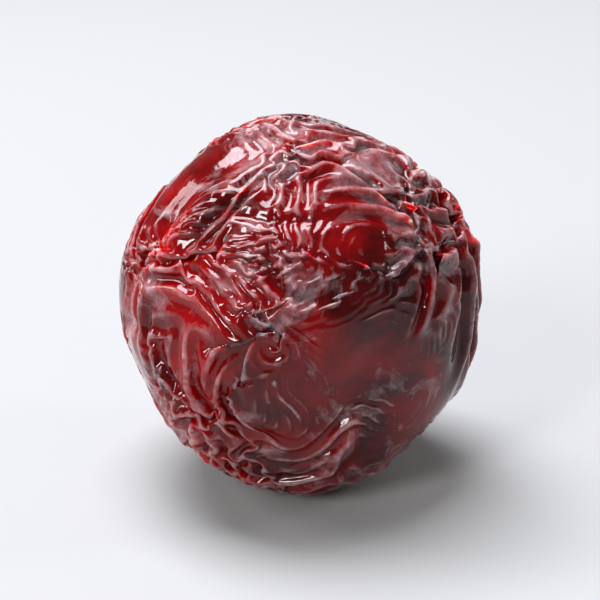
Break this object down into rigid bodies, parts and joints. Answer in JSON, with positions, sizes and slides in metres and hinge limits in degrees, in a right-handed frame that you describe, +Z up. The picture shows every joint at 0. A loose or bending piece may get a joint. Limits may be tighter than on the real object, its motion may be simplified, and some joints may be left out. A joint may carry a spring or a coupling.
{
  "type": "candied prune",
  "caption": "Candied prune: a small glossy plum, half dried and wrinkled, with soft lobes, a shallow stem cavity and a flat spot to rest on.",
  "frame": {"origin": "middle of the prune's outline, on the plane that it rests on", "axes": "+Z up from the resting plane to the crown, -Y towards the front, where the blossom end is, and the stem cavity at the back"},
  "size_m": [0.0342, 0.0328, 0.0352],
  "materials": {
    "candied_flesh": "gloss"
  },
  "bodies": {
    "root": {"prune": "candied_flesh"}
  },
  "joints": []
}
